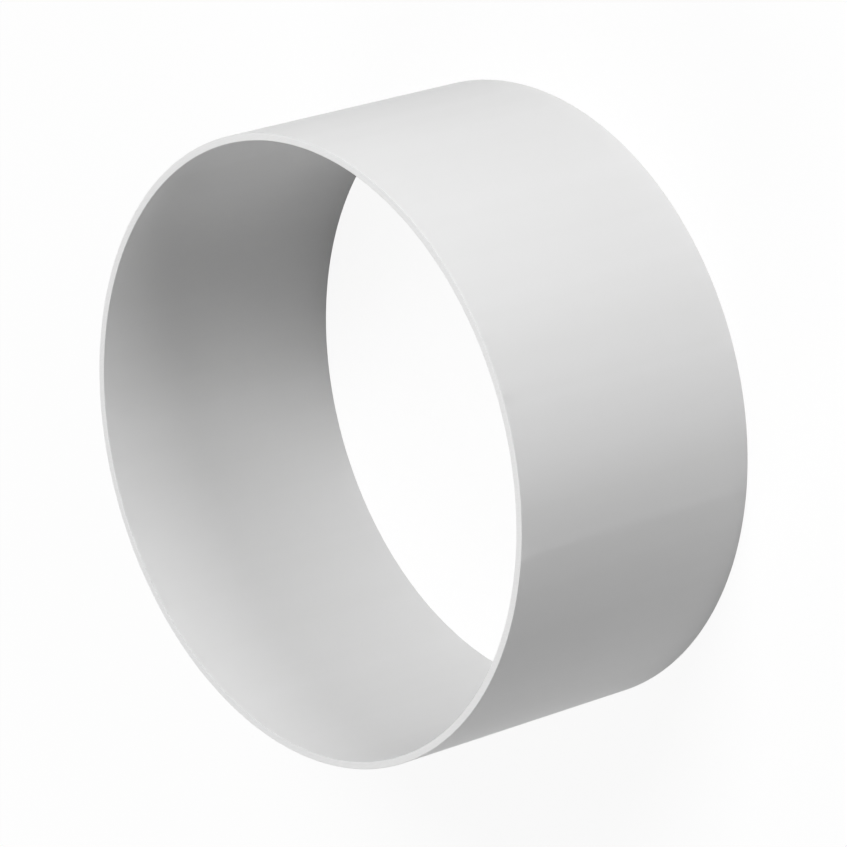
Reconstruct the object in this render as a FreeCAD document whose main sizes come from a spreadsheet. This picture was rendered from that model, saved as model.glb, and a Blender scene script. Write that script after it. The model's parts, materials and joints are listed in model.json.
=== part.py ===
"""Duct connector: a plain sleeve that joins two round ventilation ducts end to end.

It is one length of thin-walled plastic tube, extruded and cut square at both ends, with every
cut edge lightly broken. A duct is pushed into each end, and the two meet halfway along the
smooth bore.

Millimetres. +Z runs along the bore, and the origin is the centre of the lower end.
"""
import FreeCAD
import Part
import Sketcher
import os

SHEET = "Dimensions"

# Driving dimensions, in millimetres
DIMENSIONS = {
    "duct_diameter": 125.0,    # outside diameter of the ducts that go in
    "duct_clearance": 0.2,     # gap between a duct and the bore, on the radius
    "wall_thickness": 1.5,     # wall of the sleeve
    "sleeve_length": 60.0,     # distance between the two cut ends
    "edge_radius": 0.25,       # round on each broken edge
}

# Sizes that follow from them
BORE_DIAMETER = f"{SHEET}.duct_diameter + 2 * {SHEET}.duct_clearance"
OUTSIDE_DIAMETER = f"{BORE_DIAMETER} + 2 * {SHEET}.wall_thickness"
LENGTH = f"{SHEET}.sleeve_length"
EDGE_RADIUS = f"{SHEET}.edge_radius"

# Numbers by which a sketch knows a circle's centre and its own origin
CIRCLE_CENTRE = 3
SKETCH_ORIGIN = (-1, 1)


def add_dimensions(doc):
    """Put each driving dimension in its own cell, under its own name."""
    sheet = doc.addObject("Spreadsheet::Sheet", SHEET)
    for row, (name, value) in enumerate(DIMENSIONS.items(), start=1):
        sheet.set(f"A{row}", name)
        sheet.set(f"B{row}", str(value))
        sheet.setAlias(f"B{row}", name)
    doc.recompute()


def origin_plane(body, role):
    """Return one of the body's own origin planes."""
    return next(plane for plane in body.Origin.OriginFeatures if plane.Role == role)


def add_section(body):
    """Draw the tube's section on the lower end: the bore's circle inside the outside one."""
    sketch = body.newObject("Sketcher::SketchObject", "TubeSection")
    sketch.AttachmentSupport = [(origin_plane(body, "XY_Plane"), "")]
    sketch.MapMode = "FlatFace"
    circles = [("bore", BORE_DIAMETER), ("outside", OUTSIDE_DIAMETER)]
    for rough_radius, (name, diameter) in enumerate(circles, start=1):
        round_line = Part.Circle(FreeCAD.Vector(0, 0, 0), FreeCAD.Vector(0, 0, 1), rough_radius)
        circle = sketch.addGeometry(round_line, False)
        sketch.addConstraint(
            Sketcher.Constraint("Coincident", circle, CIRCLE_CENTRE, *SKETCH_ORIGIN)
        )
        size = sketch.addConstraint(Sketcher.Constraint("Diameter", circle, 2 * rough_radius))
        sketch.renameConstraint(size, name)
        sketch.setExpression(f"Constraints.{name}", diameter)
    return sketch


def add_tube(body, section):
    """Extrude the section upwards from the lower end to the upper one."""
    tube = body.newObject("PartDesign::Pad", "Tube")
    tube.Profile = section
    tube.setExpression("Length", LENGTH)
    return tube


def break_edges(body, tube):
    """Round the inner and outer edge of both cut ends."""
    cut_edges = [
        f"Edge{number}"
        for number, edge in enumerate(tube.Shape.Edges, start=1)
        if isinstance(edge.Curve, Part.Circle)
    ]
    rounds = body.newObject("PartDesign::Fillet", "BrokenEdges")
    rounds.Base = (tube, cut_edges)
    rounds.setExpression("Radius", EDGE_RADIUS)
    return rounds


def add_sleeve(doc):
    """Build the sleeve, standing on its lower end."""
    body = doc.addObject("PartDesign::Body", "Sleeve")
    body.Label = "connector_sleeve"
    body.Placement = FreeCAD.Placement()
    tube = add_tube(body, add_section(body))
    doc.recompute()
    body.Tip = break_edges(body, tube)
    return body


def check(doc, bodies):
    """Stop if any object failed or any solid is missing or unsound."""
    failed = [item.Name for item in doc.Objects if {"Invalid", "Error"} & set(item.State)]
    unsound = [body.Label for body in bodies if body.Shape.isNull() or not body.Shape.isValid()]
    if failed or unsound:
        raise RuntimeError(f"failed objects: {failed}, unsound solids: {unsound}")


def main():
    doc = FreeCAD.newDocument("DuctConnector")
    add_dimensions(doc)
    bodies = [add_sleeve(doc)]
    doc.recompute()
    check(doc, bodies)
    os.makedirs("parts", exist_ok=True)
    for body in bodies:
        body.Shape.exportStep(f"parts/{body.Label}.step")
        print(f"{body.Label}: {body.Shape.Volume:.1f} mm3, {len(body.Shape.Solids)} solid")


main()
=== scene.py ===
"""Duct connector: a plain white plastic sleeve in soft studio light, seen as in the photograph.

Metres. The sleeve stands on its lower end with its bore along +Z. Angles are in degrees, and an
azimuth is counted from +X towards +Y.
"""
import json
import math

import bmesh
import bpy
from mathutils import Matrix, Vector


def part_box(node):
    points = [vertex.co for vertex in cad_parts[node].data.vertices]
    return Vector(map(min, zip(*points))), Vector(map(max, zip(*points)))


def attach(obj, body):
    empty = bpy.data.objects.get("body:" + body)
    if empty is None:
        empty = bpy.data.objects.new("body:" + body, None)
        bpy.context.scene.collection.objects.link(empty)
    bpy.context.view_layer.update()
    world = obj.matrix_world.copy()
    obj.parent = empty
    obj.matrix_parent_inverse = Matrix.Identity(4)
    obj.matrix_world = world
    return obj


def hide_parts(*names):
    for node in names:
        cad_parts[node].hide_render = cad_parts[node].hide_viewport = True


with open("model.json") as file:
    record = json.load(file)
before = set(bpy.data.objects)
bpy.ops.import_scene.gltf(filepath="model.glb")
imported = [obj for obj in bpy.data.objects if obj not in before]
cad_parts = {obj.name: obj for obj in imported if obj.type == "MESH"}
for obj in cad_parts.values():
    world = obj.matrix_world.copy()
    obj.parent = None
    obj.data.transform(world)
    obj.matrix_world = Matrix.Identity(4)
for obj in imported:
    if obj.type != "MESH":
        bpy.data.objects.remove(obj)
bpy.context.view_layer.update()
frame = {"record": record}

MM = 0.001
NODE = "connector_sleeve"
BODY = "root"

# The sleeve's sizes, from the frame
low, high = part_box(NODE)
bore = next(mount for mount in frame["record"]["mounts"] if mount["name"] == "bore")
OUTER_RADIUS = max(high.x, high.y)
INNER_RADIUS = bore["dims"]["r_mm"] * MM
MIDDLE = Vector((0, 0, (low.z + high.z) / 2))

# Round on the cut edges, crisper than the solid's because the photograph shows no highlight on them
EDGE_RADIUS = 0.10 * MM

# How finely the sleeve is meshed
TURN_STEPS = 480
ROUND_STEPS = 5
LOOP_SPACING = 6 * MM
LOOP_BESIDE_ROUND = 0.15 * MM

# Lines that the die left along the outside: azimuth, height (a groove's is below zero) and half width
DIE_LINES = [
    (241.8, 0.055 * MM, 1.1 * MM),
    (269.2, -0.03 * MM, 0.8 * MM),
]
DIE_LINE_STEPS = 32
# Reach of the finer steps beside a die line, in half widths, and the factor by which it is kept clear
DIE_LINE_REACH = 3
DIE_LINE_MARGIN = 1.05

# The photograph's view
VIEW_AIM = Vector((-0.0008, 0.0, 0.0283))
VIEW_AZIMUTH = 270.0
VIEW_ELEVATION = 38.91
VIEW_ROLL = 105.74
VIEW_DISTANCE = 1.168
VIEW_ANGLE = 8.3235
VIEW_CLIP = (0.05, 50.0)

# White plastic: colours and roughness of the extruded walls and of the cut ends
PLASTIC_WHITE = (0.80, 0.80, 0.80)
PLASTIC_WHITE_DULL = (0.785, 0.785, 0.783)
PLASTIC_ROUGHNESS = (0.66, 0.74)
CUT_WHITE = (0.90, 0.90, 0.90)
CUT_WHITE_DULL = (0.86, 0.86, 0.855)
CUT_ROUGHNESS = (0.55, 0.70)

# Noise: scale, detail and roughness. Nearly all of it lies within the span
BROAD_STREAKS = (120.0, 2.0, 0.5)
FINE_STREAKS = (1400.0, 3.0, 0.5)
GRAIN = (6000.0, 2.0, 0.5)
SAW_MARKS = (2600.0, 3.0, 0.6)
PATCHES = (90.0, 2.0, 0.5)
NOISE_SPAN = (0.3, 0.7)

# How the die draws the noise out lengthwise, and the saw along its cut
DIE_STRETCH = (1.0, 1.0, 0.02)
SAW_STRETCH = (1.0, 0.12, 1.0)

# Bumps: strength and height
STREAK_BUMP = (0.05, 0.05 * MM)
GRAIN_BUMP = (0.04, 0.02 * MM)
SAW_BUMP = (0.15, 0.05 * MM)

# Floor and background
FLOOR_RADIUS = 4.0
FLOOR_SIDES = 128
FLOOR_GREY = (0.55, 0.55, 0.55)
WHITE = (1.0, 1.0, 1.0, 1.0)
# Share of plain white in the floor that shows, and how far off it starts to grow and reaches 1
WHITE_SHARE = 0.91
SHADOW_REACH = (0.08, 0.40)
AMBIENT = 0.01

# Lamps: name, azimuth, elevation, width, height and level. What faces a level of 1 shows its own colour
LAMP_DISTANCE = 1.5
SOFTBOXES = [
    ("key", 322.0, 48.0, 0.6, 0.6, 0.81),
    ("front", 282.0, 6.0, 0.6, 0.3, 0.27),
    ("back", 84.0, 0.0, 0.6, 0.05, 0.40),
    ("low_back", 140.0, 0.0, 0.6, 0.05, 0.20),
    ("high_back", 142.0, 45.0, 0.6, 0.6, 0.31),
]


def direction(azimuth, elevation):
    """Unit vector towards an azimuth and an elevation above the floor."""
    turn = math.radians(azimuth)
    rise = math.radians(elevation)
    flat = math.cos(rise)
    return Vector((flat * math.cos(turn), flat * math.sin(turn), math.sin(rise)))


def add_object(name, data):
    thing = bpy.data.objects.new(name, data)
    bpy.context.scene.collection.objects.link(thing)
    return thing


def add_node(tree, kind, inputs=None, **properties):
    """Add a node. An input is given by name or number, as a value or as a socket to join to."""
    made = tree.nodes.new(kind)
    for name, value in properties.items():
        setattr(made, name, value)
    for name, value in (inputs or {}).items():
        if isinstance(value, bpy.types.NodeSocket):
            tree.links.new(value, made.inputs[name])
        else:
            made.inputs[name].default_value = value
    return made


# Mesh of the sleeve

def loops_between(start, end):
    """Points that divide a straight stretch, with one close to each end to keep the rounds crisp."""
    span = (end - start).length
    along = (end - start) / span
    inner = span - 2 * LOOP_BESIDE_ROUND
    parts = max(1, math.ceil(inner / LOOP_SPACING))
    return [start + along * (LOOP_BESIDE_ROUND + inner * part / parts) for part in range(parts + 1)]


def wall_section():
    """Once round the wall's section: each point's radius and height, and the surface it lies on."""
    radius = EDGE_RADIUS
    outside = OUTER_RADIUS - radius
    inside = INNER_RADIUS + radius
    corners = [
        (Vector((outside, low.z + radius)), -90, "outside"),
        (Vector((outside, high.z - radius)), 0, "end"),
        (Vector((inside, high.z - radius)), 90, "inside"),
        (Vector((inside, low.z + radius)), 180, "end"),
    ]
    rounds = []
    for centre, first, _ in corners:
        turns = [math.radians(first + 90 * step / ROUND_STEPS) for step in range(ROUND_STEPS + 1)]
        rounds.append([centre + radius * Vector((math.cos(turn), math.sin(turn))) for turn in turns])
    section = []
    for index, (_, _, next_surface) in enumerate(corners):
        here = rounds[index]
        following = rounds[(index + 1) % len(rounds)]
        section += [(point, "round") for point in here]
        section += [(point, next_surface) for point in loops_between(here[-1], following[0])]
    return section


def turn_angles():
    """Azimuths of the mesh's lengthwise edges, closer together at each die line."""
    angles = {360.0 * step / TURN_STEPS for step in range(TURN_STEPS)}
    for azimuth, _, half_width in DIE_LINES:
        reach = DIE_LINE_REACH * math.degrees(half_width / OUTER_RADIUS)
        near = [azimuth + reach * (2 * step / DIE_LINE_STEPS - 1) for step in range(DIE_LINE_STEPS + 1)]
        angles = {angle for angle in angles if abs(angle - azimuth) > reach * DIE_LINE_MARGIN}
        angles |= {round(angle, 4) for angle in near}
    return sorted(angles)


def die_relief(azimuth):
    """How far the outside stands proud at an azimuth, or below zero how far it lies back."""
    relief = 0.0
    for line, height, half_width in DIE_LINES:
        offset = math.radians(azimuth - line) * OUTER_RADIUS / half_width
        relief += height * math.exp(-offset * offset / 2)
    return relief


def add_sleeve():
    """One closed mesh: the section turned once round the bore's axis."""
    section = wall_section()
    mesh = bmesh.new()
    rings = []
    for azimuth in turn_angles():
        turn = math.radians(azimuth)
        proud = die_relief(azimuth)
        ring = []
        for point, surface in section:
            radius = point.x + (proud if surface == "outside" else 0.0)
            ring.append(mesh.verts.new((radius * math.cos(turn), radius * math.sin(turn), point.y)))
        rings.append(ring)
    for ring, next_ring in zip(rings, rings[1:] + rings[:1]):
        for index, (_, surface) in enumerate(section):
            after = (index + 1) % len(section)
            face = mesh.faces.new((ring[index], next_ring[index], next_ring[after], ring[after]))
            face.smooth = True
            face.material_index = 1 if "end" in (surface, section[after][1]) else 0
    bmesh.ops.recalc_face_normals(mesh, faces=mesh.faces)
    data = bpy.data.meshes.new("sleeve")
    mesh.to_mesh(data)
    mesh.free()
    data.materials.append(extruded_plastic())
    data.materials.append(cut_plastic())
    sleeve = add_object("sleeve", data)
    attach(sleeve, BODY)
    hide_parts(NODE)


# Materials

def new_material(name):
    material = bpy.data.materials.new(name)
    material.use_nodes = True
    return material, material.node_tree, material.node_tree.nodes["Principled BSDF"]


def colour_between(tree, factor, first, second):
    """Colour that goes from the first to the second as the factor goes through the noise's span."""
    ramp = add_node(tree, "ShaderNodeValToRGB", {"Fac": factor})
    for element, position, colour in zip(ramp.color_ramp.elements, NOISE_SPAN, (first, second)):
        element.position = position
        element.color = (*colour, 1.0)
    return ramp.outputs["Color"]


def value_between(tree, factor, first, second):
    """Value that goes from the first to the second as the factor goes through the noise's span."""
    least, most = NOISE_SPAN
    inputs = {"Value": factor, "From Min": least, "From Max": most, "To Min": first, "To Max": second}
    return add_node(tree, "ShaderNodeMapRange", inputs).outputs["Result"]


def noise(tree, place, kind):
    scale, detail, roughness = kind
    inputs = {"Vector": place, "Scale": scale, "Detail": detail, "Roughness": roughness}
    return add_node(tree, "ShaderNodeTexNoise", inputs).outputs["Fac"]


def stretched(tree, place, scale):
    return add_node(tree, "ShaderNodeMapping", {"Vector": place, "Scale": scale}).outputs["Vector"]


def bump(tree, kind, height, under=None):
    """Normal of a bumpy surface, on top of the normal under it if there is one."""
    strength, distance = kind
    inputs = {"Strength": strength, "Distance": distance, "Height": height}
    if under is not None:
        inputs["Normal"] = under
    return add_node(tree, "ShaderNodeBump", inputs).outputs["Normal"]


def extruded_plastic():
    """Satin white plastic, with the faint lengthwise drag of the die and a very fine grain."""
    material, tree, shader = new_material("extruded_white_plastic")
    place = add_node(tree, "ShaderNodeTexCoord").outputs["Object"]
    drawn = stretched(tree, place, DIE_STRETCH)
    broad = noise(tree, drawn, BROAD_STREAKS)
    fine = noise(tree, drawn, FINE_STREAKS)
    grain = noise(tree, place, GRAIN)
    streaked = bump(tree, STREAK_BUMP, fine)
    skin = bump(tree, GRAIN_BUMP, grain, streaked)
    colour = colour_between(tree, broad, PLASTIC_WHITE, PLASTIC_WHITE_DULL)
    tree.links.new(colour, shader.inputs["Base Color"])
    tree.links.new(value_between(tree, fine, *PLASTIC_ROUGHNESS), shader.inputs["Roughness"])
    tree.links.new(skin, shader.inputs["Normal"])
    return material


def cut_plastic():
    """The sawn ends: the same plastic, matt, with fine scratches along the cut."""
    material, tree, shader = new_material("cut_white_plastic")
    place = add_node(tree, "ShaderNodeTexCoord").outputs["Object"]
    marks = noise(tree, stretched(tree, place, SAW_STRETCH), SAW_MARKS)
    patches = noise(tree, place, PATCHES)
    scratched = bump(tree, SAW_BUMP, marks)
    colour = colour_between(tree, marks, CUT_WHITE, CUT_WHITE_DULL)
    tree.links.new(colour, shader.inputs["Base Color"])
    tree.links.new(value_between(tree, patches, *CUT_ROUGHNESS), shader.inputs["Roughness"])
    tree.links.new(scratched, shader.inputs["Normal"])
    return material


# Camera, lamps, floor and background

def add_camera():
    """Camera that looks down on the sleeve, rolled so that the bore lies across the picture."""
    data = bpy.data.cameras.new("camera")
    data.angle = math.radians(VIEW_ANGLE)
    data.clip_start, data.clip_end = VIEW_CLIP
    camera = add_object("camera", data)
    back = direction(VIEW_AZIMUTH, VIEW_ELEVATION)
    upright = (-back).to_track_quat("-Z", "Y").to_matrix().to_4x4()
    roll = Matrix.Rotation(math.radians(-VIEW_ROLL), 4, "Z")
    camera.matrix_world = Matrix.Translation(VIEW_AIM + back * VIEW_DISTANCE) @ upright @ roll
    bpy.context.scene.camera = camera


def add_softbox(name, azimuth, elevation, width, height, level):
    """A soft lamp that faces the sleeve."""
    data = bpy.data.lights.new(name, "AREA")
    data.shape = "RECTANGLE"
    data.size = width
    data.size_y = height
    data.energy = level * (math.pi * LAMP_DISTANCE) ** 2
    lamp = add_object(name, data)
    towards = direction(azimuth, elevation)
    lamp.location = MIDDLE + towards * LAMP_DISTANCE
    lamp.rotation_mode = "QUATERNION"
    lamp.rotation_quaternion = towards.to_track_quat("Z", "Y")


def seen_as(tree, plain, seen):
    """Join two shaders: the second is what the camera, gloss and glass show, the first is all else."""
    path = add_node(tree, "ShaderNodeLightPath")
    sight = path.outputs["Is Camera Ray"]
    for kind in ("Is Glossy Ray", "Is Transmission Ray"):
        either = {0: sight, 1: path.outputs[kind]}
        sight = add_node(tree, "ShaderNodeMath", either, operation="MAXIMUM").outputs[0]
    return add_node(tree, "ShaderNodeMixShader", {0: sight, 1: plain, 2: seen}).outputs[0]


def add_floor():
    """Plain pale floor, seen as white, and as nearly white where it takes the sleeve's shadow."""
    mesh = bmesh.new()
    bmesh.ops.create_circle(mesh, cap_ends=True, segments=FLOOR_SIDES, radius=FLOOR_RADIUS)
    data = bpy.data.meshes.new("floor")
    mesh.to_mesh(data)
    mesh.free()
    material = bpy.data.materials.new("pale_floor")
    material.use_nodes = True
    tree = material.node_tree
    tree.nodes.clear()
    pale = add_node(tree, "ShaderNodeBsdfDiffuse", {"Color": (*FLOOR_GREY, 1.0)}).outputs[0]
    shaded = add_node(tree, "ShaderNodeBsdfDiffuse", {"Color": WHITE}).outputs[0]
    white = add_node(tree, "ShaderNodeEmission", {"Color": WHITE, "Strength": 1.0}).outputs[0]
    place = add_node(tree, "ShaderNodeTexCoord").outputs["Object"]
    away = add_node(tree, "ShaderNodeVectorMath", {0: place}, operation="LENGTH").outputs["Value"]
    near, far = SHADOW_REACH
    fade = {"Value": away, "From Min": near, "From Max": far, "To Min": WHITE_SHARE, "To Max": 1.0}
    share = add_node(tree, "ShaderNodeMapRange", fade).outputs["Result"]
    seen = add_node(tree, "ShaderNodeMixShader", {0: share, 1: shaded, 2: white}).outputs[0]
    add_node(tree, "ShaderNodeOutputMaterial", {"Surface": seen_as(tree, pale, seen)})
    data.materials.append(material)
    floor = add_object("floor", data)
    floor.location.z = low.z


def add_surroundings():
    """White beyond the floor, and a little even light from all round."""
    world = bpy.data.worlds.new("studio")
    world.use_nodes = True
    tree = world.node_tree
    tree.nodes.clear()
    light = add_node(tree, "ShaderNodeBackground", {"Strength": AMBIENT}).outputs[0]
    white = add_node(tree, "ShaderNodeBackground", {"Color": WHITE, "Strength": 1.0}).outputs[0]
    add_node(tree, "ShaderNodeOutputWorld", {"Surface": seen_as(tree, light, white)})
    bpy.context.scene.world = world


add_sleeve()
add_floor()
add_surroundings()
add_camera()
for softbox in SOFTBOXES:
    add_softbox(*softbox)
bpy.context.scene.view_settings.view_transform = "Standard"
